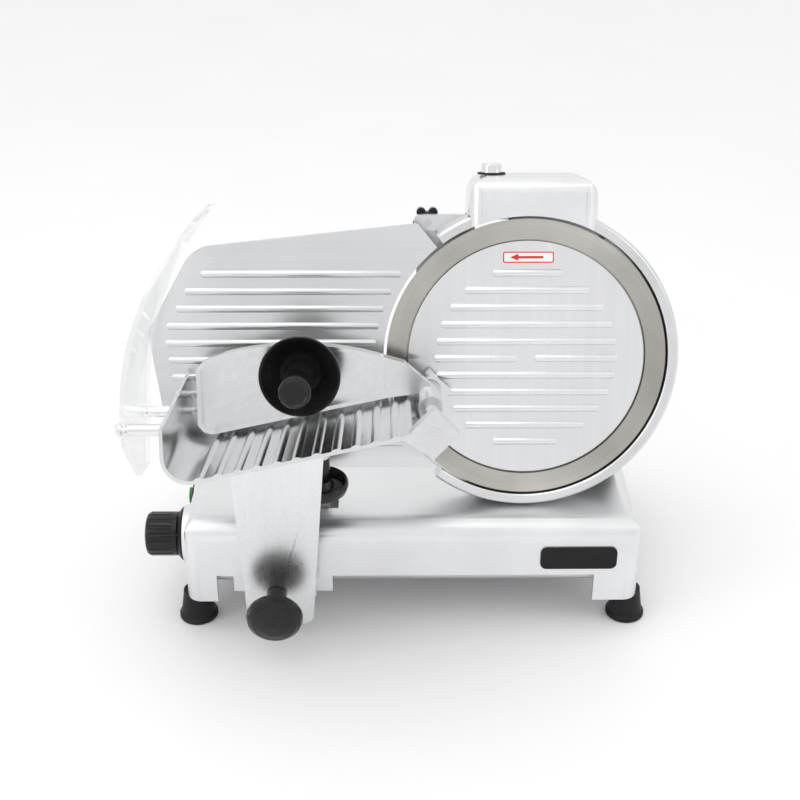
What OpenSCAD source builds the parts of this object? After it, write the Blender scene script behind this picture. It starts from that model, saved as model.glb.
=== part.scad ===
// Deli meat slicer: gravity-feed machine with a leaning blade, gauge plate and sliding carriage.
// Millimetres, +Z up, feet on Z = 0, operator's side towards -Y.

/* [Base] */
// width of the cast housing at the front
base_width = 421; // [360:1:500]
// depth of the cast housing
base_depth = 256; // [230:1:310]
// height of the flat top above the table
base_top = 114; // [100:1:135]
// distance of the front apron from the blade centre
base_front = 66; // [60:1:80]
// height of the apron's lower edge
apron_bottom = 59; // [55:1:65]
// height of the rubber feet
foot_height = 30; // [26:1:32]
// widest radius of a foot
foot_radius = 18; // [14:0.5:22]
// casting wall
base_wall = 5; // [4:0.5:7]
// draft of the side walls in degrees
side_draft = 2; // [0:0.5:4]
// radius of the front top edge
front_round = 19; // [8:1:24]

/* [Blade] */
// diameter of the round blade
blade_diameter = 250; // [220:1:300]
// sideways place of the blade centre
blade_x = 101.7; // [80:0.1:120]
// lean of the blade away from the operator in degrees
blade_tilt = 15; // [0:1:25]
// radius of the ribbed cover disc
cover_radius = 105.5; // [90:0.5:115]
// gap between blade edge and ring guard
ring_gap = 2; // [1:0.5:5]
// radial thickness of the ring guard
ring_thick = 10; // [6:0.5:12]
// half of the angle covered by the ring guard
ring_half_angle = 126; // [110:1:127]
// spacing of the food-side ribs
rib_pitch = 15.4; // [13:0.1:18]

/* [Gauge plate] */
// reach of the plate's top edge above the blade centre
gauge_top = 120.5; // [100:0.5:125]
// reach of the plate's bottom edge below the blade centre
gauge_bottom = 101.6; // [90:0.1:105]
// leftmost corner of the plate
gauge_left = 235.5; // [220:0.5:238]
// plate thickness
gauge_thick = 7; // [5:0.5:8]

/* [Carriage] */
// slope of the tray floor in degrees
tray_slope = 12; // [8:1:14]
// depth of the tray from the blade outwards
tray_depth = 153; // [130:1:170]
// outside face of the tray's left wall
tray_left = 201.5; // [195:0.5:206]
// sheet thickness of the tray
tray_sheet = 3; // [2:0.5:4]
// number of floor ribs
tray_ribs = 11; // [6:1:12]
// radius of the pusher's pin
pin_radius = 6; // [5:0.5:7]
// inner radius of the clear shield around the pin
shield_radius = 248; // [244:0.5:250]
// shield sheet thickness
shield_thick = 4; // [3:0.5:5]
// forward lean of the carriage arm in degrees
arm_lean = 7; // [0:1:8]

/* [Knobs and grip] */
// radius of the clamp knobs
knob_radius = 25; // [18:0.5:27]
// radius of the thickness knob
dial_radius = 20.5; // [16:0.5:22]
// length of the thickness knob
dial_length = 31; // [24:1:36]
// radius of the pusher's grip
grip_radius = 12; // [9:0.5:14]
// radius of the dish behind the grip
dish_radius = 35; // [26:0.5:38]

/* [Sharpener] */
// width of the sharpener box
sharpener_width = 115; // [100:1:130]
// depth of the sharpener box
sharpener_depth = 71; // [60:1:80]
// height of its top above the blade centre, along the blade
sharpener_top = 161; // [152:1:170]

/* [Hidden] */
$fn = 96;
blade_r = blade_diameter / 2;
ring_inner = blade_r + ring_gap;
ring_outer = ring_inner + ring_thick;
blade_z = base_top + ring_outer * cos(blade_tilt) + 2.67;
base_back = base_depth - base_front;
half_front = base_width / 2;
dial_x = half_front + 0.5;
dial_y = -33;
dial_z = base_top - 30;
tray_near = 3;
tray_far = tray_near + tray_depth;
floor_x = -8;
floor_w = -29;
slope = tan(tray_slope);
fillet_r = 22;
fillet_x = -tray_left + fillet_r;
pin_x = 15;
pin_w = -27.6;
hub_near = 9;
hub_far = 73;
handle_x = -97;
handle_w = -2.4;
sharpener_x = 48;
sharpener_near = 9;
shaft_r = 10;
motor_x = blade_x + 48;
motor_w = -62;
motor_r = 40;
blade_pulley_r = 55;
motor_pulley_r = 14;
step_z = base_top + 6;
rod_y = -44;
rod_z = 50;
rod_r = 9;
guide_x = -100;
guide_w = -165;
guide_r = 7;
arm_y = -base_front - 14;
arm_z = 21;
lock_x = -123;
lock_z = 38;
tray_knob_x = -82;
tray_knob_y = -66;
tray_knob_z = 188;
gland_proud = 5;
foot_spots = [[-203, -46], [203, -46], [-195, 168], [195, 168]];
cover_rib_half = [31, 55, 68, 76, 80, 82, 80, 75, 66, 54, 29];

// the row's origin is the middle of the footprint
left_end = -dial_x - 5.3 - dial_length;
right_end = blade_x + ring_outer;
front_end = (floor_w - tray_sheet / cos(tray_slope) + (fillet_x - floor_x + fillet_r * sin(tray_slope)) * slope)
            * sin(blade_tilt) - tray_far * cos(blade_tilt);
mid_x = (left_end + right_end) / 2;
mid_y = (front_end + base_back + gland_proud) / 2;

function unit(a, b) = (b - a) / norm(b - a);
function half_angle(p, v, q) = acos(unit(v, p) * unit(v, q)) / 2;
function corner_cut(p, v, q, r) = r / tan(half_angle(p, v, q));
function corner_centre(p, v, q, r) =
    v + unit([0, 0], unit(v, p) + unit(v, q)) * r / sin(half_angle(p, v, q));
function floor_top(x) = floor_w + (x - floor_x) * slope;
function floor_under(x) = floor_top(x) - tray_sheet / cos(tray_slope);
function half_width(z) = half_front - (z - foot_height) * tan(side_draft);

// a convex outline with one corner radius per point
module rounded_poly(pts, radii) {
    n = len(pts);
    polygon([
        for (i = [0:n - 1])
            for (side = (radii[i] > 0 ? [0, 1] : [0]))
                let (p = pts[(i + n - 1) % n], v = pts[i], q = pts[(i + 1) % n])
                    radii[i] > 0
                        ? v + unit(v, side == 0 ? p : q) * corner_cut(p, v, q, radii[i])
                        : v
    ]);
    for (i = [0:n - 1])
        if (radii[i] > 0)
            translate(corner_centre(pts[(i + n - 1) % n], pts[i], pts[(i + 1) % n], radii[i]))
                circle(r = radii[i]);
}

module rounded_box(w, h, r) {
    rounded_poly([[-w / 2, -h / 2], [w / 2, -h / 2], [w / 2, h / 2], [-w / 2, h / 2]], [r, r, r, r]);
}

module placed() {
    translate([-mid_x, -mid_y, 0]) children();
}

// the leaning frame of the blade: x stays, -y faces the operator, z runs up the blade
module lean() {
    placed() translate([0, 0, blade_z]) rotate([-blade_tilt, 0, 0]) children();
}

// an outline drawn in the blade plane, as thick as the distance from near to far
module slab(near, far) {
    translate([0, -near, 0]) rotate([90, 0, 0]) linear_extrude(height = far - near) children();
}

// a turned shape whose outline is radius against distance from the blade plane
module turned(x, w) {
    translate([x, 0, w]) rotate([90, 0, 0]) rotate_extrude() children();
}

module tube_n(x, w, r, near, far) {
    translate([x, -near, w]) rotate([90, 0, 0]) cylinder(r = r, h = far - near);
}

// a rounded rib along x whose crown stands at the given distance in front of the blade plane
module rib(x, w, length, width, base, crown) {
    rise = crown - base;
    r = (width * width / 4 + rise * rise) / (2 * rise);
    intersection() {
        slab(base - 0.4, crown + 1) translate([x, w]) rounded_box(length, width + 1, width / 2);
        translate([x - length / 2 - 1, r - crown, w]) rotate([0, 90, 0]) cylinder(r = r, h = length + 2);
    }
}

module arm_frame() {
    placed() translate([0, arm_y, arm_z]) rotate([arm_lean, 0, 0]) children();
}

module along_x(x, y, z, r, length) {
    translate([x, y, z]) rotate([0, 90, 0]) cylinder(r = r, h = length);
}

// ---------------------------------------------------------------- base
module base_shape(inset, low) {
    top = base_top - inset;
    back_half = half_front * 0.96 - inset;
    intersection() {
        translate([0, base_back + 1, 0]) rotate([90, 0, 0]) linear_extrude(height = base_depth + 2)
            rounded_poly([
                [-half_width(low) + inset, low], [half_width(low) - inset, low],
                [half_width(top) - inset, top], [-half_width(top) + inset, top]
            ], [0, 0, 14 - inset, 14 - inset]);
        translate([-half_front - 1, 0, 0]) rotate([90, 0, 90]) linear_extrude(height = base_width + 2)
            rounded_poly([
                [-base_front + inset, low], [base_back - inset, low],
                [base_back - inset, top], [-base_front + inset, top]
            ], [0, 0, 12 - inset, front_round - inset]);
        translate([0, 0, low - 1]) linear_extrude(height = base_top - low + 2)
            rounded_poly([
                [-half_front + inset, -base_front + inset], [half_front - inset, -base_front + inset],
                [back_half, base_back - inset], [-back_half, base_back - inset]
            ], [14 - inset, 14 - inset, 20 - inset, 20 - inset]);
    }
}

module base_openings() {
    // under the apron, between the legs
    translate([-half_front + 30, -base_front - 5, 0]) cube([base_width - 73, 30, apron_bottom]);
    // under the side and rear walls
    translate([-half_front - 5, -24, 0]) cube([base_width + 10, 168, 42]);
    translate([-165, base_back - 30, 0]) cube([330, 40, 42]);
    // slot for the gauge plate's leg
    translate([-132, -38, base_top - 20]) cube([64, 50, 40]);
    // rod, dial shaft, buttons
    along_x(-half_front + 4, rod_y, rod_z, rod_r + 0.05, base_width - 8);
    along_x(-half_front - 10, dial_y, dial_z, 6.3, 40);
    along_x(-half_front - 10, 32, dial_z, 8.3, 40);
    along_x(-half_front - 10, 60, dial_z, 8.3, 40);
    translate([150, base_back - 20, 72]) rotate([-90, 0, 0]) cylinder(r = 6, h = 40);
    for (p = foot_spots)
        translate([p[0], p[1], 0]) cylinder(r = 4.1, h = 38);
}

module base_housing() {
    color([0.78, 0.78, 0.79])
    difference() {
        union() {
            placed() difference() {
                union() {
                    difference() {
                        base_shape(0, foot_height);
                        base_shape(base_wall, foot_height - 2);
                    }
                    // leg posts and pads carry the feet, dial and switch
                    intersection() {
                        base_shape(0, foot_height);
                        union() {
                            for (p = foot_spots)
                                translate([p[0], p[1], foot_height]) cylinder(r = 15, h = base_top - foot_height - 2);
                        }
                    }
                    along_x(-dial_x, dial_y, dial_z, 27, 14);
                    translate([-half_front + 1.5, 46, dial_z]) rotate([0, 90, 0])
                        linear_extrude(height = 12) rounded_box(34, 64, 8);
                    // raised step under the blade column and motor
                    translate([146, 92, base_top - 2]) linear_extrude(height = 8) rounded_box(112, 130, 12);
                }
                base_openings();
            }
        }
        lean() tube_n(motor_x, motor_w, motor_r + 2, -146, -60);
    }
}

module feet() {
    color([0.03, 0.03, 0.03])
    placed() for (p = foot_spots)
        translate([p[0], p[1], 0]) rotate_extrude()
            polygon([
                [4.1, foot_height], [12.5, foot_height], [13, foot_height - 4], [foot_radius - 2, 6],
                [foot_radius, 4], [foot_radius, 1], [foot_radius - 1, 0], [9, 0], [9, 6], [4.1, 6]
            ]);
}

module foot_screws() {
    color([0.6, 0.6, 0.62])
    placed() for (p = foot_spots)
        translate([p[0], p[1], 0]) {
            translate([0, 0, 6]) cylinder(r = 4, h = 31);
            translate([0, 0, 2]) cylinder(r = 7, h = 4);
        }
}

module badge_plate() {
    color([0.02, 0.02, 0.02])
    placed() translate([152, -base_front, (apron_bottom + base_top - front_round) / 2 + 1]) rotate([90, 0, 0])
        linear_extrude(height = 1.6) rounded_box(70, 23, 6);
}

module slide_rod() {
    color([0.82, 0.82, 0.84])
    union() {
        placed() along_x(-half_front + 5, rod_y, rod_z, rod_r, base_width - 10);
        guide_bar();
    }
}

module guide_bar() {
    placed() union() {
        translate([-half_front + 14, 8, 42]) cube([base_width - 28, 9, 9]);
        for (x = [-half_front + 14, half_front - 22])
            translate([x, 8, 51]) cube([8, 9, base_top - base_wall - 51]);
    }
}

module cable_gland() {
    color([0.05, 0.05, 0.05])
    placed() translate([150, base_back, 72]) rotate([-90, 0, 0]) union() {
        cylinder(r = 9, h = gland_proud, $fn = 6);
        translate([0, 0, -10]) cylinder(r = 5.9, h = 11);
    }
}

module index_ring() {
    color([0.75, 0.75, 0.76])
    placed() translate([-dial_x, dial_y, dial_z]) rotate([0, -90, 0]) rotate_extrude()
        polygon([[8, 0], [25, 0], [25, 2], [21.5, 5], [8, 5]]);
}

module index_marks() {
    color([0.95, 0.95, 0.95])
    placed() translate([-dial_x, dial_y, dial_z]) rotate([0, -90, 0])
        for (a = [0:20:340])
            rotate([0, 0, a]) translate([16.5, -0.45, 5]) cube([a % 60 == 0 ? 4.6 : 3, 0.9, 0.15]);
}

module switch_plate() {
    color([0.08, 0.08, 0.08])
    placed() difference() {
        translate([-half_front + 1.5, 46, dial_z]) rotate([0, -90, 0])
            linear_extrude(height = 2) rounded_box(30, 60, 6);
        along_x(-half_front - 10, 32, dial_z, 8.3, 40);
        along_x(-half_front - 10, 60, dial_z, 8.3, 40);
    }
}

module push_button(y) {
    placed() union() {
        along_x(-half_front - 5, y, dial_z, 8, 21);
        along_x(-half_front + 15, y, dial_z, 10, 2);
    }
}

module start_button() {
    color([0.05, 0.45, 0.12]) push_button(32);
}

module stop_button() {
    color([0.7, 0.04, 0.03]) push_button(60);
}

module thickness_knob() {
    color([0.03, 0.03, 0.03])
    placed() translate([-dial_x - 5.3, dial_y, dial_z]) rotate([0, -90, 0]) difference() {
        rotate_extrude() polygon([
            [0, 0], [dial_radius - 1, 0], [dial_radius, 1], [dial_radius, dial_length - 5],
            [dial_radius - 1.5, dial_length - 2], [dial_radius - 5, dial_length - 0.6], [0, dial_length]
        ]);
        for (a = [0:20:340])
            rotate([0, 0, a]) translate([dial_radius + 0.6, 0, 5]) cylinder(r = 1.9, h = dial_length);
    }
}

module dial_shaft() {
    color([0.6, 0.6, 0.62])
    placed() union() {
        along_x(-dial_x - 5.3, dial_y, dial_z, 6, 42);
        along_x(-dial_x + 24, dial_y, dial_z, 16, 5);
    }
}

// ---------------------------------------------------------------- gauge plate
module gauge_outline() {
    difference() {
        rounded_poly([
            [-gauge_left + 1.6, 28.5], [-gauge_left + 0.1, 24.3], [-gauge_left + 0.4, 20],
            [-217, -gauge_bottom], [blade_x - 70, -gauge_bottom],
            [blade_x - 70, gauge_top - 32.5], [4.5, gauge_top], [-193.6, gauge_top - 20.6]
        ], [0, 0, 0, 5, 0, 0, 4, 30]);
        translate([blade_x, 0]) circle(r = ring_inner + 0.5);
    }
}

function gauge_edge(w) = w > 24.3
    ? -gauge_left + (w - 24.3) * (gauge_left - 193.6) / (gauge_top - 20.6 - 24.3)
    : -gauge_left + (24.3 - w) * (gauge_left - 217) / (gauge_bottom + 24.3);

module gauge_plate() {
    color([0.72, 0.72, 0.73])
    lean() union() {
        slab(-1.2 - gauge_thick, -1.4) gauge_outline();
        for (i = [0:10]) {
            w = gauge_top - 44 - 15.5 * i;
            left = gauge_edge(w) + (w > 70 ? 20 : 14);
            right = blade_x - sqrt(pow(ring_inner + 8, 2) - w * w);
            rib((left + right) / 2, w, right - left, 6.4, -1.4, 0.5);
        }
    }
}

module gauge_bracket() {
    color([0.62, 0.62, 0.63])
    lean() difference() {
        union() {
            slab(-21, -1.2 - gauge_thick) translate([guide_x, -70]) rounded_box(90, 44, 6);
            slab(-26, -10) translate([guide_x, -124]) square([46, 110], center = true);
            slab(-34, -10) translate([guide_x, guide_w]) square([46, 24], center = true);
        }
        tube_n(guide_x, guide_w, guide_r + 0.05, -40, -5);
    }
}

module gauge_guide() {
    color([0.55, 0.55, 0.56])
    difference() {
        lean() union() {
            slab(-8, -3) translate([guide_x, guide_w + 12]) square([84, 46], center = true);
            slab(-65, -59) translate([guide_x, guide_w + 22]) square([84, 66], center = true);
        }
        lean() tube_n(guide_x, guide_w, guide_r, -75, 5);
        placed() translate([-250, -100, base_top - base_wall]) cube([500, 300, 80]);
    }
}

module gauge_rod() {
    color([0.82, 0.82, 0.84])
    lean() tube_n(guide_x, guide_w, guide_r, -66, -2);
}

// ---------------------------------------------------------------- blade group
module blade() {
    color([0.62, 0.6, 0.57])
    lean() turned(blade_x, 0) polygon([
        [shaft_r, -10], [blade_r - 22, -10], [blade_r - 12, -6], [blade_r - 5, -3.4], [blade_r, -0.4],
        [blade_r, -0.1], [blade_r - 6, 0.6], [cover_radius + 1.5, 0.6], [cover_radius + 1.5, -6], [shaft_r, -6]
    ]);
}

module blade_shaft() {
    color([0.6, 0.6, 0.62])
    lean() turned(blade_x, 0) polygon([
        [8, -57], [shaft_r - 0.05, -57], [shaft_r - 0.05, -14], [32, -14], [32, -10],
        [shaft_r, -10], [shaft_r, -8], [8, -8]
    ]);
}

module blade_pulley() {
    color([0.45, 0.45, 0.46])
    lean() turned(blade_x, 0) polygon([
        [shaft_r, -56], [blade_pulley_r + 2, -56], [blade_pulley_r + 2, -54.5], [blade_pulley_r, -54],
        [blade_pulley_r, -44], [blade_pulley_r + 2, -43.5], [blade_pulley_r + 2, -42], [shaft_r, -42]
    ]);
}

module blade_cover() {
    color([0.74, 0.74, 0.75])
    lean() union() {
        difference() {
            slab(-5.7, -0.8) translate([blade_x, 0]) circle(r = cover_radius);
            tube_n(blade_x, 0, 4.05, -16, -2);
        }
        difference() {
            tube_n(blade_x, 0, 7.6, -16, -5.6);
            tube_n(blade_x, 0, 4.05, -17, -2);
        }
        for (i = [0:10]) {
            w = (5 - i) * rib_pitch;
            half = cover_rib_half[i] * cover_radius / 105.5;
            if (i == 5) {
                for (s = [-1, 1])
                    rib(blade_x + s * (half + 8) / 2, w, half - 8, 7, -0.8, 1.2);
            } else {
                rib(blade_x, w, 2 * half, 7, -0.8, 1.2);
            }
        }
    }
}

module cover_label() {
    color([0.9, 0.9, 0.9])
    lean() slab(-0.8, -0.5) translate([blade_x + 0.5, 91]) rounded_box(46, 11, 2);
}

module label_arrow() {
    color([0.75, 0.05, 0.05])
    lean() slab(-0.5, -0.3) translate([blade_x + 0.5, 91]) union() {
        difference() {
            rounded_box(45, 10, 1.8);
            rounded_box(43, 8, 1.2);
        }
        translate([2, 0]) square([22, 2], center = true);
        polygon([[-16, 0], [-9, 3], [-9, -3]]);
    }
}

module tie_rod() {
    color([0.6, 0.6, 0.62])
    lean() tube_n(blade_x, 0, 4, -72, -7);
}

module release_knob() {
    color([0.03, 0.03, 0.03])
    lean() difference() {
        tube_n(blade_x, 0, 15.5, -82, -63.4);
        tube_n(blade_x, 0, 4, -72, -60);
        for (a = [0:45:315])
            translate([blade_x, 0, 0]) rotate([0, a, 0]) tube_n(17.2, 0, 3.4, -84, -66);
    }
}

// ---------------------------------------------------------------- blade housing
module ring_section() {
    polygon([
        [ring_inner, -25], [ring_outer, -25], [ring_outer, -2], [ring_outer - 0.9, -0.1],
        [ring_outer - 2.6, 1], [ring_inner + 1.6, 1], [ring_inner + 0.4, 0.2], [ring_inner, -1]
    ]);
}

module ring_guard() {
    color([0.8, 0.8, 0.81])
    difference() {
        ring_casting();
        placed() translate([-300, -200, base_top - 199.5]) cube([600, 500, 200]);
    }
}

module ring_casting() {
    lean() difference() {
        union() {
            translate([blade_x, 0, 0]) rotate([90, 0, 0]) rotate([0, 0, -ring_half_angle])
                rotate_extrude(angle = 2 * ring_half_angle) ring_section();
            // back web on the right half, joined to the ring
            slab(-24, -20) intersection() {
                translate([blade_x, 0]) circle(r = ring_inner + 2);
                translate([blade_x - 16, -150]) square([200, 300]);
            }
            tube_n(blade_x, 0, 26, -24, -17);
            // arm at the upper left
            slab(-32, -22) rounded_poly([[2, 112], [56, 112], [56, 126], [2, 126]], [5, 0, 0, 5]);
            slab(-32, -22) translate([blade_x, 0]) intersection() {
                difference() {
                    circle(r = ring_outer - 0.6);
                    circle(r = ring_inner + 0.6);
                }
                polygon([[0, 0], [-110, 160], [-60, 160]]);
            }
        }
        tube_n(blade_x, 0, shaft_r + 3, -30, -10);
        tube_n(14, 119, 3.2, -40, -15);
        // notch that lets the stones reach the blade
        slab(-16, 4) translate([blade_x + 4, ring_outer]) square([62, 26], center = true);
    }
}

module column() {
    color([0.76, 0.76, 0.77])
    difference() {
        lean() slab(-58, -25.1) difference() {
            translate([blade_x - 5, -112]) square([82, 100], center = true);
            two_circles(68.1, 34.1);
        }
        placed() translate([-300, -200, step_z - 200]) cube([600, 500, 200]);
    }
}

// the outline of a belt run round two circles on the blade and motor axes
module two_circles(big, small) {
    a = [blade_x, 0];
    b = [motor_x, motor_w];
    along = unit(a, b);
    across = [-along[1], along[0]];
    lean_in = (big - small) / norm(b - a);
    side = sqrt(1 - lean_in * lean_in);
    up = (along * lean_in + across * side) * 0.998;
    down = (along * lean_in - across * side) * 0.998;
    polygon([a + up * big, b + up * small, b, b + down * small, a + down * big, a]);
    translate(a) circle(r = big);
    translate(b) circle(r = small);
}

module case_outline(inset) {
    two_circles(68 - inset, 34 - inset);
}

module pulley_case() {
    color([0.7, 0.7, 0.71])
    lean() difference() {
        union() {
            slab(-58, -24) difference() {
                case_outline(0);
                case_outline(4);
            }
            slab(-28, -24) case_outline(0);
            tube_n(blade_x, 0, 24, -41, -24);
            // socket for the sharpener's post
            translate([blade_x + 4, 48, 66]) cylinder(r = 9.9, h = 43);
            slab(-57.9, -38.1) translate([blade_x + 4, 67]) square([19.8, 10], center = true);
        }
        tube_n(blade_x, 0, 19, -45, -26);
        tube_n(blade_x, 0, shaft_r + 3, -30, -20);
        translate([blade_x + 4, 48, 74]) cylinder(r = 7.06, h = 50);
    }
}

module case_cover() {
    color([0.7, 0.7, 0.71])
    lean() slab(-62, -58) difference() {
        case_outline(0);
        translate([blade_x, 0]) circle(r = 9);
        translate([motor_x, motor_w]) circle(r = 8);
    }
}

module bearings() {
    color([0.66, 0.66, 0.68])
    lean() for (near = [-32, -41])
        turned(blade_x, 0) polygon([[shaft_r, near], [19, near], [19, near + 6], [shaft_r, near + 6]]);
}

module drive_belt() {
    color([0.03, 0.03, 0.03])
    lean() slab(-53, -45) difference() {
        two_circles(blade_pulley_r + 2.6, motor_pulley_r + 2.6);
        two_circles(blade_pulley_r + 0.35, motor_pulley_r + 0.35);
    }
}

module motor_body() {
    color([0.25, 0.26, 0.28])
    lean() difference() {
        tube_n(motor_x, motor_w, motor_r, -142, -62);
        tube_n(motor_x, motor_w, 6.05, -143, -60);
    }
}

module motor_shaft() {
    color([0.6, 0.6, 0.62])
    lean() tube_n(motor_x, motor_w, 6, -140, -44);
}

module motor_pulley() {
    color([0.45, 0.45, 0.46])
    lean() turned(motor_x, motor_w) polygon([
        [6, -55], [motor_pulley_r + 2, -55], [motor_pulley_r + 2, -54], [motor_pulley_r, -53.6],
        [motor_pulley_r, -44.4], [motor_pulley_r + 2, -44], [motor_pulley_r + 2, -43], [6, -43]
    ]);
}

module motor_cover() {
    color([0.76, 0.76, 0.77])
    difference() {
        lean() difference() {
            slab(-148, -62) translate([motor_x, -82]) rounded_box(100, 130, 14);
            slab(-145, -61) translate([motor_x, -82]) rounded_box(94, 124, 11);
        }
        placed() translate([-300, -200, step_z - 300]) cube([600, 500, 300]);
    }
}

module deflector() {
    color([0.7, 0.7, 0.71])
    lean() slab(-34, -32) difference() {
        rounded_poly([[4, -84], [52, -84], [60, 96], [46, 126], [4, 126]], [10, 0, 0, 8, 5]);
        translate([blade_x, 0]) circle(r = 71);
        translate([14, 119]) circle(r = 3.2);
    }
}

module deflector_stud() {
    color([0.6, 0.6, 0.62])
    lean() tube_n(14, 119, 3.15, -44, -22);
}

module star_knob() {
    color([0.03, 0.03, 0.03])
    lean() difference() {
        union() {
            tube_n(14, 119, 8.5, -52, -34.3);
            for (a = [18:72:306])
                translate([14, 0, 119]) rotate([0, a, 0]) tube_n(9.2, 0, 4.2, -52, -40);
        }
        tube_n(14, 119, 3.25, -45, -30);
    }
}

// ---------------------------------------------------------------- sharpener
// the sharpener's box, rounded on every upper edge
module sharpener_body(inset) {
    mid = sharpener_x + sharpener_width / 2;
    wide = sharpener_width - 2 * inset;
    top = sharpener_top - inset;
    deep = sharpener_depth - sharpener_near - inset;
    intersection() {
        translate([mid, sharpener_depth / 2 - sharpener_near, 112]) linear_extrude(height = 60)
            rounded_box(wide, sharpener_depth - 2 * inset, 15 - inset);
        slab(-sharpener_depth, sharpener_near + 5) rounded_poly([
            [mid - wide / 2, 113 - inset], [mid + wide / 2, 113 - inset],
            [mid + wide / 2 - 2, top], [mid - wide / 2 + 2, top]
        ], [0, 0, 19 - inset, 19 - inset]);
        translate([mid - 100, 0, 0]) rotate([90, 0, 90]) linear_extrude(height = 200) rounded_poly([
            [inset - sharpener_near, 112], [deep, 112], [deep, top], [inset - sharpener_near, top]
        ], [0, 0, 11 - inset, 13 - inset]);
    }
}

module sharpener_shell() {
    color([0.8, 0.8, 0.81])
    lean() union() {
        translate([blade_x + 4, 48, 76]) cylinder(r = 7, h = 46);
        sharpener_case();
    }
}

module sharpener_case() {
    difference() {
        union() {
            difference() {
                sharpener_body(0);
                sharpener_body(4);
            }
            translate([blade_x + 4, 48, 118]) cylinder(r = 11, h = sharpener_top - 121);
            // raised lips on the front corners
            for (x = [sharpener_x + 9, sharpener_x + sharpener_width - 12])
                translate([x, -sharpener_near - 1.6, 128]) cube([3, 4, 20]);
        }
        // front and rear skirts follow the blade's rim
        slab(1.9, 20) translate([blade_x, 0]) circle(r = ring_inner + 1);
        slab(-26.5, 2) translate([blade_x, 0]) circle(r = ring_outer + 1);
        slab(-80, -26.4) translate([blade_x + 20, 70]) square([300, 96], center = true);
        slab(-36, -20) translate([0, 100]) square([blade_x - 20, 27.5]);
        translate([sharpener_x + 23, 34, 140]) cylinder(r = 9.3, h = 60);
        tube_n(sharpener_x + 90, 142, 7.3, -80, -40);
    }
}

module stones() {
    color([0.45, 0.4, 0.36])
    lean() union() {
        tube_n(blade_x - 14, ring_outer + 3, 9.5, -14, -5);
        tube_n(blade_x - 14, ring_outer + 3, 3, -57.5, -14);
        tube_n(blade_x + 22, ring_outer + 3, 9.5, 1.6, 4.6);
        tube_n(blade_x + 22, ring_outer + 3, 3, -57.5, 1.6);
    }
}

module button_seal() {
    color([0.03, 0.03, 0.03])
    lean() translate([sharpener_x + 23, 34, sharpener_top]) difference() {
        cylinder(r = 12.5, h = 1.5);
        translate([0, 0, -1]) cylinder(r = 9.3, h = 4);
    }
}

module sharpen_button() {
    color([0.85, 0.85, 0.86])
    lean() translate([sharpener_x + 23, 34, 0]) union() {
        translate([0, 0, sharpener_top - 10]) cylinder(r = 9, h = 18);
        translate([0, 0, sharpener_top - 12]) cylinder(r = 11, h = 5);
        translate([0, 0, sharpener_top + 8]) cylinder(r1 = 9, r2 = 7.5, h = 1.5);
    }
}

module deburr_button() {
    color([0.85, 0.85, 0.86])
    lean() union() {
        tube_n(sharpener_x + 90, 142, 7, -70, -50);
        tube_n(sharpener_x + 90, 142, 9, -56, -52);
    }
}

// ---------------------------------------------------------------- carriage
module carriage_block() {
    color([0.6, 0.6, 0.61])
    placed() difference() {
        union() {
            translate([-166, -60, 37]) cube([92, 30, 26]);
            translate([-140, -31, 37.5]) cube([40, 50, 17]);
            translate([-150, arm_y, 37]) cube([60, -arm_y - 58, 12]);
        }
        along_x(-170, rod_y, rod_z, rod_r + 0.05, 120);
        translate([-145, 7.6, 41.6]) cube([50, 9.8, 9.8]);
    }
}

module carriage_tab() {
    color([0.68, 0.68, 0.69])
    difference() {
        arm_frame() rotate([90, 0, 0]) translate([0, 0, -7.3]) linear_extrude(height = 7)
            rounded_poly([[-152, 28.3], [-88, 28.3], [-88, 84], [-152, 84]], [0, 0, 8, 8]);
        placed() translate([-200, arm_y - 20, 0]) cube([200, 60, 49]);
    }
}

module lock_stud() {
    color([0.6, 0.6, 0.62])
    arm_frame() translate([lock_x, 0.3, lock_z]) rotate([90, 0, 0]) cylinder(r = 5, h = 25);
}

module mushroom_outline() {
    polygon([
        [5.05, 1], [9, 1], [9, 25], [12.5, 31], [knob_radius - 5, 31.5], [knob_radius - 3.4, 27],
        [knob_radius - 1.2, 25.6], [knob_radius, 28], [knob_radius, 31], [knob_radius - 1.5, 35.5],
        [knob_radius - 5.5, 39], [knob_radius - 13, 41.6], [0, 43], [0, 27], [5.05, 27]
    ]);
}

module lock_knob() {
    color([0.03, 0.03, 0.03])
    arm_frame() translate([lock_x, -7, lock_z]) rotate([90, 0, 0]) rotate_extrude() mushroom_outline();
}

// everything above the tray's underside, less a given drop
module above_floor(drop) {
    lean() translate([floor_x, 100, floor_under(floor_x) - drop]) rotate([0, -tray_slope, 0])
        translate([-400, -400, 0]) cube([600, 600, 200]);
}

module carriage_arm() {
    color([0.74, 0.74, 0.75])
    difference() {
        union() {
            arm_frame() rotate([90, 0, 0]) linear_extrude(height = 7) difference() {
                rounded_poly([[-151, 0], [-91.5, 0], [-74, 215], [-156, 215]], [10, 10, 0, 0]);
                translate([lock_x - 5.5, -10]) square([11, lock_z + 10]);
                translate([lock_x, lock_z]) circle(r = 5.5);
            }
            lean() slab(45, 112) polygon([
                [-156, floor_under(-156) + 2], [-156, floor_under(-156) - 6],
                [-70, floor_under(-70) - 6], [-70, floor_under(-70) + 2]
            ]);
            placed() translate([tray_knob_x, tray_knob_y, tray_knob_z + 0.7]) cylinder(r = 10, h = 60);
        }
        above_floor(0);
        placed() translate([tray_knob_x, tray_knob_y, tray_knob_z - 30]) cylinder(r = 5, h = 48);
    }
}

module tray_stud() {
    color([0.6, 0.6, 0.62])
    placed() translate([tray_knob_x, tray_knob_y, tray_knob_z - 24]) cylinder(r = 5, h = 42);
}

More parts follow.
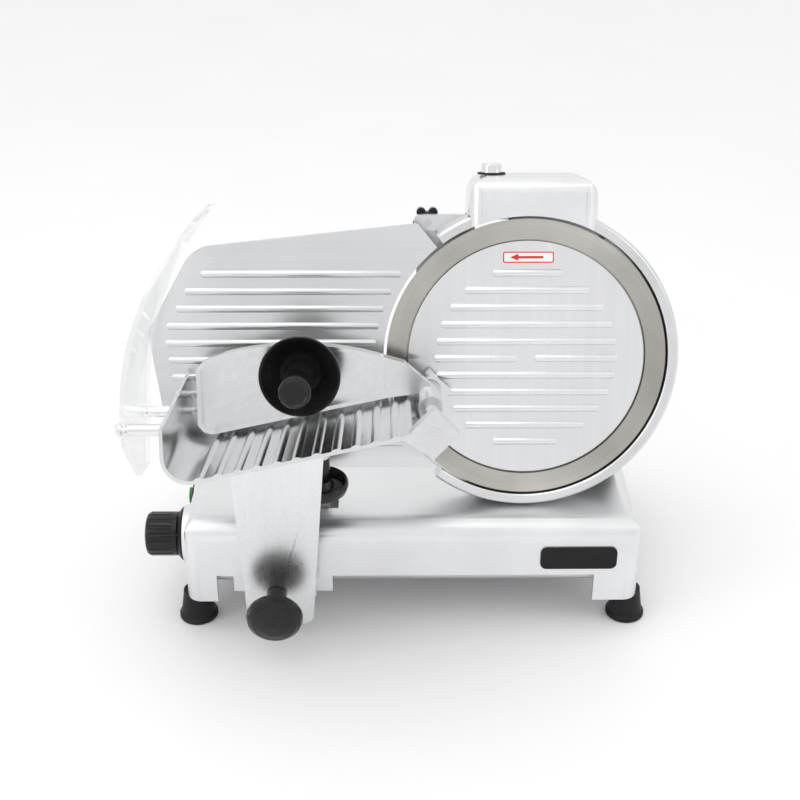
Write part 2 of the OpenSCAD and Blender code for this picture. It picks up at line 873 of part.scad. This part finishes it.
module tray_knob() {
    color([0.03, 0.03, 0.03])
    placed() translate([tray_knob_x, tray_knob_y, tray_knob_z + 1]) rotate([180, 0, 0])
        rotate_extrude() mushroom_outline();
}

module tray_profile() {
    fillet_w = floor_under(fillet_x) + fillet_r / cos(tray_slope);
    union() {
        // sloping floor
        polygon([
            [fillet_x + fillet_r * sin(tray_slope), floor_under(fillet_x + fillet_r * sin(tray_slope))],
            [floor_x, floor_under(floor_x)], [floor_x, floor_top(floor_x)],
            [fillet_x + (fillet_r - tray_sheet) * sin(tray_slope),
             floor_top(fillet_x + (fillet_r - tray_sheet) * sin(tray_slope))]
        ]);
        // rounded corner into the left wall
        translate([fillet_x, fillet_w]) intersection() {
            difference() {
                circle(r = fillet_r);
                circle(r = fillet_r - tray_sheet);
            }
            polygon([[0, 0], [-60, 0], [-60, -60], [60 * sin(tray_slope), -60 * cos(tray_slope)]]);
        }
        translate([-tray_left, fillet_w]) square([tray_sheet, -10 - fillet_w]);
    }
}

module diamond(size) {
    translate([pin_x, pin_w]) rotate([0, 0, 45]) square([size, size], center = true);
}

module tray() {
    rib_step = 15.6;
    color([0.77, 0.77, 0.78])
    lean() difference() {
        union() {
            slab(tray_near, tray_far) tray_profile();
            // floor ribs run away from the blade
            intersection() {
                slab(tray_near, tray_far) polygon([
                    [-190, floor_top(-190) - 1], [floor_x, floor_top(floor_x) - 1],
                    [floor_x, floor_top(floor_x) + 3], [-190, floor_top(-190) + 3]
                ]);
                union() {
                    for (i = [0:tray_ribs - 1]) {
                        x = floor_x - 7 - rib_step * i;
                        tube_n(x, floor_top(x) - 4.6, 6, tray_near, tray_far);
                    }
                }
            }
            // gutter plate and lugs that hold the pin
            slab(tray_near, tray_far) polygon([
                [floor_x - 1, floor_under(floor_x)], [floor_x - 1, floor_top(floor_x)],
                [pin_x - 20.5, pin_w + 0.6], [pin_x - 17.4, pin_w - 0.2], [pin_x + 0.4, pin_w - 18],
                [pin_x, pin_w - 21]
            ]);
            slab(tray_near, 8.6) diamond(28.5);
            slab(tray_far - 15, tray_far) diamond(28.5);
        }
        // the left wall's top edge falls towards the front
        slab(-5, 200) translate([pin_x, pin_w]) circle(r = pin_radius);
        translate([-tray_left - 5, -tray_far - 1, -23]) rotate([0, 0, 0])
            rotate([90, 0, 90]) linear_extrude(height = 20)
                polygon([[0, 0], [tray_depth + 2, 13.2], [tray_depth + 2, 30], [0, 30]]);
    }
}

module pusher_pin() {
    color([0.85, 0.85, 0.86])
    lean() tube_n(pin_x, pin_w, pin_radius, tray_near, tray_far + 1.5);
}

module pusher_sleeve() {
    color([0.7, 0.55, 0.3])
    lean() turned(pin_x, pin_w) polygon([
        [pin_radius + 0.05, hub_near], [9, hub_near], [9, hub_near + 1], [pin_radius + 1, hub_near + 1],
        [pin_radius + 1, hub_far - 1], [9, hub_far - 1], [9, hub_far], [pin_radius + 0.05, hub_far]
    ]);
}

function pusher_edge(x) = 20 - 0.002 * pow(x + 100, 2);
function pusher_low(x) = floor_top(x) + 4.5;

module pusher_outline() {
    polygon(concat(
        [for (x = [-176:12:-20]) [x, pusher_edge(x)]],
        [[-20, pusher_low(-20)], [-176, pusher_low(-176)], [-184, pusher_low(-176) + 2],
         [-189, pusher_low(-176) + 8], [-189, -2], [-184, 3.4]]
    ));
}

module pusher_plate() {
    color([0.78, 0.78, 0.79])
    lean() difference() {
        union() {
            slab(20, 24) pusher_outline();
            slab(24, 34) difference() {
                pusher_outline();
                offset(delta = -3.5) pusher_outline();
            }
            // arm from the hub to the plate
            slab(20, 34) polygon([
                [pin_x + 2, pin_w + 10], [pin_x - 8, pin_w + 5], [pin_x - 16, pin_w + 3], [-22, pusher_low(-22)],
                [-22, pusher_edge(-22)], [-8, 4]
            ]);
            tube_n(pin_x, pin_w, 10.5, hub_near + 1.3, hub_far - 1.3);
            tube_n(handle_x, handle_w, 17, 20, 30);
        }
        tube_n(pin_x, pin_w, pin_radius + 1.05, 0, 90);
        tube_n(handle_x, handle_w, 5, 10, 40);
    }
}

module pusher_spikes() {
    color([0.6, 0.6, 0.62])
    lean() for (row = [0, 1], i = [0:8])
        translate([-166 + 15 * i + 7 * row, -20, pusher_low(-166 + 15 * i) + 10 + 17 * row])
            rotate([-90, 0, 0]) cylinder(r1 = 2.4, r2 = 0.4, h = 8);
}

module handle() {
    color([0.02, 0.02, 0.02])
    lean() turned(handle_x, handle_w) polygon([
        [5.05, 30.3], [17, 30.3], [17, 42], [19.5, 45.5], [dish_radius - 2.2, 57], [dish_radius, 58.6],
        [dish_radius, 60.6], [dish_radius - 1, 61.2], [dish_radius - 2.4, 60.6], [17.5, 47.5],
        [grip_radius + 1, 46.5], [grip_radius, 49], [grip_radius - 0.8, 80], [grip_radius, 108],
        [grip_radius + 1.4, 114], [grip_radius + 1.4, 118.6], [grip_radius + 0.6, 120.2],
        [grip_radius - 1.2, 121], [grip_radius - 2.4, 120.2], [0, 120.2], [0, 60], [5.05, 60]
    ]);
}

module handle_bolt() {
    color([0.6, 0.6, 0.62])
    lean() tube_n(handle_x, handle_w, 5, 20, 60);
}

module shield() {
    color([0.85, 0.9, 0.92, 0.25])
    lean() difference() {
        intersection() {
            translate([pin_x, 0, pin_w]) rotate([90, 0, 0]) rotate([0, 0, 130])
                rotate_extrude(angle = 64) translate([shield_radius, 10]) square([shield_thick, 122]);
            translate([-320, 0, 0]) rotate([90, 0, 90]) linear_extrude(height = 320) polygon([
                [-58, -78], [-98, -78], [-130, -44], [-131, 55], [-126, 76], [-112, 100], [-88, 132],
                [-74, 143], [-54, 143], [-42, 137], [-20, 108], [-12, 88], [-12, -36], [-16, -44]
            ]);
        }
        along_x(-300, -122, -32, 2.7, 150);
        along_x(-300, -30, -40, 2.7, 150);
    }
}

module shield_studs() {
    end = shield_radius + shield_thick - pin_x;
    color([0.85, 0.85, 0.86])
    lean() for (p = [[-122, -32], [-30, -40]]) {
        along_x(-end - 1, p[0], p[1], 2.5, end + 1 - tray_left);
        along_x(-end + shield_thick + 1, p[0], p[1], 5, end - shield_thick - 1 - tray_left);
        translate([-end - 0.3, p[0], p[1]]) rotate([0, -90, 0]) rotate_extrude()
            polygon([[0, 0], [5.5, 0], [5.5, 2.5], [4.4, 4.4], [2.2, 5.4], [0, 5.6]]);
    }
}

base_housing();
feet();
foot_screws();
badge_plate();
slide_rod();
cable_gland();
index_ring();
index_marks();
switch_plate();
start_button();
stop_button();
thickness_knob();
dial_shaft();
gauge_plate();
gauge_bracket();
gauge_guide();
gauge_rod();
blade();
blade_shaft();
blade_pulley();
blade_cover();
cover_label();
label_arrow();
tie_rod();
release_knob();
ring_guard();
column();
pulley_case();
case_cover();
bearings();
drive_belt();
motor_body();
motor_shaft();
motor_pulley();
motor_cover();
deflector();
deflector_stud();
star_knob();
sharpener_shell();
stones();
button_seal();
sharpen_button();
deburr_button();
carriage_block();
carriage_tab();
lock_stud();
lock_knob();
carriage_arm();
tray_stud();
tray_knob();
tray();
pusher_pin();
pusher_sleeve();
pusher_plate();
pusher_spikes();
handle();
handle_bolt();
shield();
shield_studs();
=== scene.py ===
import math
import bpy
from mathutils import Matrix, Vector


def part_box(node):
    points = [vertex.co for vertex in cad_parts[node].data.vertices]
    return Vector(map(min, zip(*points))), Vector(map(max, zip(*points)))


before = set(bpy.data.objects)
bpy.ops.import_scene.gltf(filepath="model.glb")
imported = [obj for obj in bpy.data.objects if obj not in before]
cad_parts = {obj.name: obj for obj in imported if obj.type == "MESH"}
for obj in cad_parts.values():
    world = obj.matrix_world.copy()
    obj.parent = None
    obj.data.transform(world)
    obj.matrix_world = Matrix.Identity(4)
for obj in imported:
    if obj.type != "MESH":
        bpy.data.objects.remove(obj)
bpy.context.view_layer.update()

BLADE_TILT = math.radians(15)
LENS_MM = 58.7
CAMERA_PLACE = (-0.0142, -1.0542, 0.7804)
LOOK_RIGHT = math.radians(0.41)
LOOK_DOWN = math.radians(28.85)
FLOOR_SIZE = 14
SKY_STRENGTH = 1.02
SKY_BANDS = ((0.0, 0.84), (0.35, 0.95), (0.9, 1.0))  # height in the sky, grey
BEVEL_ANGLE = math.radians(35)


# ------------------------------------------------------------------ camera
camera_data = bpy.data.cameras.new("photo_camera")
camera_data.lens = LENS_MM
camera_data.sensor_width = 36
camera = bpy.data.objects.new("photo_camera", camera_data)
camera.location = CAMERA_PLACE
view_line = Vector((math.sin(LOOK_RIGHT), 1, -math.tan(LOOK_DOWN)))
camera.rotation_euler = view_line.to_track_quat("-Z", "Y").to_euler()
bpy.context.scene.collection.objects.link(camera)
bpy.context.scene.camera = camera


# ------------------------------------------------------------------ node helpers
class Shader:
    def __init__(self, name):
        self.material = bpy.data.materials.new(name)
        self.material.use_nodes = True
        self.nodes = self.material.node_tree.nodes
        self.links = self.material.node_tree.links
        self.bsdf = self.nodes["Principled BSDF"]
        self.place = self.nodes.new("ShaderNodeTexCoord").outputs["Object"]

    def add(self, kind, **values):
        node = self.nodes.new(kind)
        for key, value in values.items():
            setattr(node, key, value)
        return node

    def link(self, a, b):
        self.links.new(a, b)

    def moved(self, scale=(1, 1, 1), turn=(0, 0, 0), shift=(0, 0, 0), source=None):
        node = self.add("ShaderNodeMapping", vector_type="POINT")
        node.inputs["Scale"].default_value = scale
        node.inputs["Rotation"].default_value = turn
        node.inputs["Location"].default_value = shift
        self.link(source or self.place, node.inputs["Vector"])
        return node.outputs["Vector"]

    def noise(self, vector, scale, detail=3.0, rough=0.55):
        node = self.add("ShaderNodeTexNoise")
        node.inputs["Scale"].default_value = scale
        node.inputs["Detail"].default_value = detail
        node.inputs["Roughness"].default_value = rough
        self.link(vector, node.inputs["Vector"])
        return node.outputs["Fac"]

    def spread(self, value, low, high, source=(0.3, 0.7)):
        node = self.add("ShaderNodeMapRange")
        node.inputs["From Min"].default_value = source[0]
        node.inputs["From Max"].default_value = source[1]
        node.inputs["To Min"].default_value = low
        node.inputs["To Max"].default_value = high
        self.link(value, node.inputs["Value"])
        return node.outputs["Result"]

    def colours(self, value, dark, light):
        node = self.add("ShaderNodeMix", data_type="RGBA")
        node.inputs["A"].default_value = (*dark, 1)
        node.inputs["B"].default_value = (*light, 1)
        self.link(value, node.inputs["Factor"])
        return node.outputs["Result"]

    def added(self, a, b, share):
        node = self.add("ShaderNodeMath", operation="MULTIPLY_ADD")
        self.link(b, node.inputs[0])
        node.inputs[1].default_value = share
        self.link(a, node.inputs[2])
        return node.outputs["Value"]

    def bump(self, height, strength, distance):
        node = self.add("ShaderNodeBump")
        node.inputs["Strength"].default_value = strength
        node.inputs["Distance"].default_value = distance
        self.link(height, node.inputs["Height"])
        self.link(node.outputs["Normal"], self.bsdf.inputs["Normal"])

    def set(self, **values):
        for key, value in values.items():
            self.bsdf.inputs[key.replace("_", " ")].default_value = value


def cast_metal(name, dark, light, rough=(0.26, 0.4), grain=1.0):
    s = Shader(name)
    s.set(Metallic=1.0)
    cloudy = s.noise(s.place, 14, 4)
    fine = s.noise(s.place, 900, 2)
    s.link(s.colours(s.spread(cloudy, 0, 1), dark, light), s.bsdf.inputs["Base Color"])
    s.link(s.added(s.spread(cloudy, rough[0], rough[1]), fine, 0.05), s.bsdf.inputs["Roughness"])
    s.bump(s.added(fine, s.noise(s.place, 160, 3), 0.6), 0.12 * grain, 0.00012)
    return s.material


def brushed_metal(name, dark, light, rough=(0.2, 0.34), along="x", turn=(0, 0, 0), strength=0.1):
    s = Shader(name)
    s.set(Metallic=1.0)
    stretch = {"x": (9, 1300, 1300), "y": (1300, 9, 1300), "z": (1300, 1300, 9)}[along]
    turned = s.moved(turn=turn)
    lines = s.noise(s.moved(scale=stretch, source=turned), 1, 3, 0.7)
    wide = tuple(v * 0.12 for v in stretch)
    bands = s.noise(s.moved(scale=wide, source=turned), 1, 2)
    cloudy = s.noise(s.place, 9, 3)
    tone = s.added(s.spread(cloudy, 0.2, 0.8), s.spread(bands, -0.3, 0.3), 0.6)
    s.link(s.colours(tone, dark, light), s.bsdf.inputs["Base Color"])
    s.link(s.added(s.spread(lines, rough[0], rough[1]), cloudy, 0.06), s.bsdf.inputs["Roughness"])
    s.bump(lines, strength, 0.00004)
    return s.material


def ground_disc(name, dark, light, centre, rough=(0.22, 0.36), strength=0.12):
    # rings of grinding marks about the blade's leaning axis
    s = Shader(name)
    s.set(Metallic=1.0)
    shifted = s.add("ShaderNodeVectorMath", operation="SUBTRACT")
    shifted.inputs[1].default_value = centre
    s.link(s.place, shifted.inputs[0])
    upright = s.moved(turn=(BLADE_TILT, 0, 0), source=shifted.outputs["Vector"])
    flat = s.add("ShaderNodeVectorMath", operation="MULTIPLY")
    flat.inputs[1].default_value = (1, 0, 1)
    s.link(upright, flat.inputs[0])
    length = s.add("ShaderNodeVectorMath", operation="LENGTH")
    s.link(flat.outputs["Vector"], length.inputs[0])
    joined = s.add("ShaderNodeCombineXYZ")
    s.link(length.outputs["Value"], joined.inputs["X"])
    rings = s.noise(s.moved(scale=(1400, 1, 1), source=joined.outputs["Vector"]), 1, 3, 0.7)
    cloudy = s.noise(s.place, 7, 3)
    tone = s.added(s.spread(cloudy, 0.0, 1.0), s.spread(rings, -0.2, 0.4), 0.4)
    s.link(s.colours(tone, dark, light), s.bsdf.inputs["Base Color"])
    s.link(s.added(s.spread(rings, rough[0], rough[1]), cloudy, 0.08), s.bsdf.inputs["Roughness"])
    s.bump(rings, strength, 0.00006)
    return s.material


def moulded(name, dark, light, rough=(0.14, 0.28), coat=0.15, grain=0.06, scale=500):
    s = Shader(name)
    s.set(Coat_Weight=coat, Coat_Roughness=0.08, Specular_IOR_Level=0.25)
    cloudy = s.noise(s.place, 30, 4)
    fine = s.noise(s.place, scale, 2)
    s.link(s.colours(s.spread(cloudy, 0, 1), dark, light), s.bsdf.inputs["Base Color"])
    s.link(s.added(s.spread(cloudy, rough[0], rough[1]), fine, 0.04), s.bsdf.inputs["Roughness"])
    s.bump(fine, grain, 0.0001)
    return s.material


def clear_plastic(name):
    s = Shader(name)
    s.set(Transmission_Weight=1.0, IOR=1.49, Alpha=0.45)
    haze = s.noise(s.place, 26, 4)
    tint = s.colours(s.spread(haze, 0, 1), (0.93, 0.95, 0.96), (0.98, 0.99, 0.99))
    s.link(tint, s.bsdf.inputs["Base Color"])
    s.link(s.spread(haze, 0.01, 0.06), s.bsdf.inputs["Roughness"])
    s.bump(s.noise(s.place, 60, 2), 0.03, 0.0002)
    return s.material


blade_low, blade_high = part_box("blade")
BLADE = [(a + b) / 2 for a, b in zip(blade_low, blade_high)]

cast = cast_metal("cast_aluminium_satin", (0.76, 0.765, 0.77), (0.84, 0.845, 0.85), rough=(0.3, 0.42))
cast_side = cast_metal("cast_aluminium_ring", (0.67, 0.675, 0.68), (0.79, 0.795, 0.8), rough=(0.24, 0.36))
brushed = brushed_metal("brushed_gauge_plate", (0.68, 0.685, 0.69), (0.77, 0.775, 0.78), rough=(0.24, 0.34))
brushed_arm = brushed_metal("brushed_arm", (0.75, 0.755, 0.76), (0.84, 0.845, 0.85), along="z",
                            rough=(0.22, 0.32))
polished = brushed_metal("polished_tray", (0.73, 0.735, 0.74), (0.85, 0.855, 0.86), along="y",
                         turn=(BLADE_TILT, 0, 0), rough=(0.14, 0.24), strength=0.06)
polished_box = cast_metal("polished_cover", (0.78, 0.785, 0.79), (0.88, 0.885, 0.89),
                          rough=(0.16, 0.28), grain=0.5)
motor_metal = cast_metal("motor_cover_satin", (0.66, 0.665, 0.67), (0.78, 0.785, 0.79), rough=(0.34, 0.46))
cover_metal = brushed_metal("satin_cover", (0.74, 0.745, 0.75), (0.83, 0.835, 0.84), along="z",
                            turn=(BLADE_TILT, 0, 0), rough=(0.26, 0.36), strength=0.05)
blade_metal = ground_disc("ground_blade", (0.34, 0.33, 0.305), (0.58, 0.57, 0.53), BLADE, rough=(0.2, 0.34))
steel = brushed_metal("machined_steel", (0.55, 0.55, 0.56), (0.7, 0.7, 0.71), along="x", rough=(0.2, 0.35))
chrome = cast_metal("chrome_plate", (0.76, 0.76, 0.77), (0.86, 0.86, 0.87), rough=(0.05, 0.1), grain=0.15)
black_gloss = moulded("black_gloss", (0.006, 0.006, 0.006), (0.014, 0.014, 0.014))
black_matte = moulded("black_matte", (0.004, 0.004, 0.004), (0.01, 0.01, 0.01), rough=(0.3, 0.42), coat=0.0)
rubber = moulded("black_rubber", (0.005, 0.005, 0.005), (0.014, 0.014, 0.014), rough=(0.4, 0.55),
                 coat=0.0, grain=0.25)
white_print = moulded("white_print", (0.8, 0.8, 0.8), (0.9, 0.9, 0.9), rough=(0.35, 0.5), coat=0.0)
red_print = moulded("red_print", (0.62, 0.03, 0.02), (0.75, 0.05, 0.03), rough=(0.35, 0.5), coat=0.0)
green = moulded("green_button", (0.01, 0.2, 0.04), (0.02, 0.3, 0.07))
red = moulded("red_button", (0.4, 0.01, 0.01), (0.55, 0.02, 0.02))
motor_paint = moulded("motor_paint", (0.03, 0.033, 0.036), (0.05, 0.053, 0.058), rough=(0.3, 0.45), coat=0.1)
stone = moulded("abrasive_stone", (0.2, 0.16, 0.12), (0.42, 0.36, 0.3), rough=(0.8, 0.95),
                coat=0.0, grain=0.9, scale=1500)
clear = clear_plastic("clear_shield")

LOOK = {
    "base_housing": cast, "column": cast, "pulley_case": cast, "case_cover": cast, "motor_cover": motor_metal,
    "gauge_bracket": cast, "carriage_block": cast, "carriage_tab": cast,
    "ring_guard": cast_side, "blade_cover": cover_metal, "blade": blade_metal,
    "gauge_plate": brushed, "deflector": brushed, "carriage_arm": brushed_arm,
    "tray": polished, "pusher_plate": polished, "sharpener_shell": polished_box,
    "feet": rubber, "button_seal": rubber, "drive_belt": rubber,
    "index_ring": black_matte, "badge_plate": black_matte, "cable_gland": black_matte,
    "switch_plate": black_matte,
    "thickness_knob": black_gloss, "release_knob": black_gloss, "star_knob": black_gloss,
    "lock_knob": black_gloss, "tray_knob": black_gloss, "handle": black_gloss,
    "sharpen_button": chrome, "deburr_button": chrome, "pusher_pin": chrome, "shield_studs": chrome,
    "index_marks": white_print, "cover_label": white_print, "label_arrow": red_print,
    "start_button": green, "stop_button": red, "motor_body": motor_paint, "stones": stone,
    "shield": clear,
}
SOFT_EDGE = {
    "base_housing": 0.0012, "ring_guard": 0.0008, "blade_cover": 0.0007, "gauge_plate": 0.0010,
    "carriage_arm": 0.0010, "pusher_plate": 0.0010,
    "motor_cover": 0.0015, "column": 0.0015, "pulley_case": 0.0010, "case_cover": 0.0010,
    "index_ring": 0.0004, "carriage_block": 0.0008, "carriage_tab": 0.0008,
    "gauge_bracket": 0.0010, "badge_plate": 0.0004, "switch_plate": 0.0004, "star_knob": 0.0006,
    "release_knob": 0.0006, "deflector": 0.0004, "cable_gland": 0.0005, "thickness_knob": 0.0004,
}

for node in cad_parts:
    item = bpy.data.objects[node]
    material = LOOK.get(node, steel)
    if not item.material_slots:
        item.data.materials.append(material)
    for slot in item.material_slots:
        slot.material = material
    if node in SOFT_EDGE:
        weld = item.modifiers.new("joined_corners", "WELD")
        weld.merge_threshold = 1e-6
        bevel = item.modifiers.new("soft_edges", "BEVEL")
        bevel.width = SOFT_EDGE[node]
        bevel.segments = 2
        bevel.limit_method = "ANGLE"
        bevel.angle_limit = BEVEL_ANGLE
        bevel.use_clamp_overlap = True

# ------------------------------------------------------------------ floor and light
def floor_material():
    s = Shader("pale_floor")
    cloudy = s.noise(s.place, 3, 3)
    tone = s.colours(s.spread(cloudy, 0, 1), (0.88, 0.88, 0.885), (0.9, 0.9, 0.905))
    s.link(tone, s.bsdf.inputs["Base Color"])
    s.set(Roughness=0.6)
    return s.material


bpy.ops.mesh.primitive_plane_add(size=FLOOR_SIZE, location=(0, 0, 0))
floor = bpy.context.object
floor.name = "studio_floor"
floor.data.materials.append(floor_material())

world = bpy.data.worlds.new("studio")
world.use_nodes = True
bpy.context.scene.world = world
tree = world.node_tree
background = tree.nodes["Background"]
coords = tree.nodes.new("ShaderNodeTexCoord")
split = tree.nodes.new("ShaderNodeSeparateXYZ")
ramp = tree.nodes.new("ShaderNodeValToRGB")
stops = ramp.color_ramp.elements
stops[0].position = SKY_BANDS[0][0]
stops[1].position = SKY_BANDS[-1][0]
stops.new(SKY_BANDS[1][0])
for stop, (_, grey) in zip(stops, SKY_BANDS):
    stop.color = (grey, grey, min(grey + 0.005, 1), 1)
tree.links.new(coords.outputs["Generated"], split.inputs["Vector"])
tree.links.new(split.outputs["Z"], ramp.inputs["Fac"])
tree.links.new(ramp.outputs["Color"], background.inputs["Color"])
background.inputs["Strength"].default_value = SKY_STRENGTH


def area(name, place, size, power, aim=(0, 0, 0.2)):
    data = bpy.data.lights.new(name, "AREA")
    data.shape = "RECTANGLE"
    data.size, data.size_y = size
    data.energy = power
    lamp = bpy.data.objects.new(name, data)
    lamp.location = place
    lamp.rotation_euler = (Vector(aim) - Vector(place)).to_track_quat("-Z", "Y").to_euler()
    bpy.context.scene.collection.objects.link(lamp)


area("key_top", (-0.5, -0.3, 1.9), (1.6, 1.2), 7)
area("side_left", (-1.7, -0.9, 1.0), (0.8, 1.2), 4)
area("side_right", (1.7, -0.6, 1.1), (0.8, 1.2), 3)

bpy.context.scene.view_settings.view_transform = "Standard"
